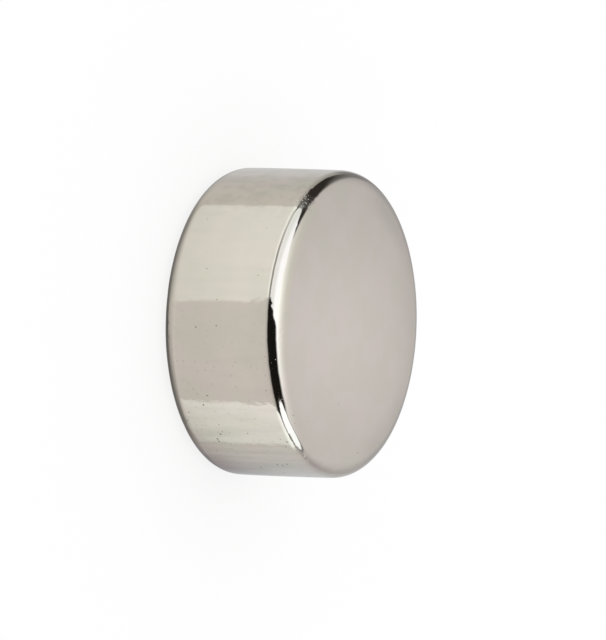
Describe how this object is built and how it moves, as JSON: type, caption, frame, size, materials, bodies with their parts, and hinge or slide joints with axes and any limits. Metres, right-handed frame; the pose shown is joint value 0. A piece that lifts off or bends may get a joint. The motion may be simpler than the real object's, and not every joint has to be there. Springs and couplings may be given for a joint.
{
  "type": "disc magnet",
  "caption": "Small nickel-plated disc magnet with rounded edges, which clings to steel by either flat pole face.",
  "frame": {"origin": "centre of the lower pole face, on the surface that the disc lies on", "axes": "+Z along the disc's axis, through its thickness, which is also the axis of its magnetic poles"},
  "size_m": [0.009, 0.009, 0.004],
  "materials": {
    "nickel_plating": "bright nickel plating on a tumbled disc: mirror-like and slightly warm, with fine pits, faint streaks and small nicks on the edge"
  },
  "bodies": {
    "root": {"magnet": "nickel_plating"}
  },
  "joints": []
}
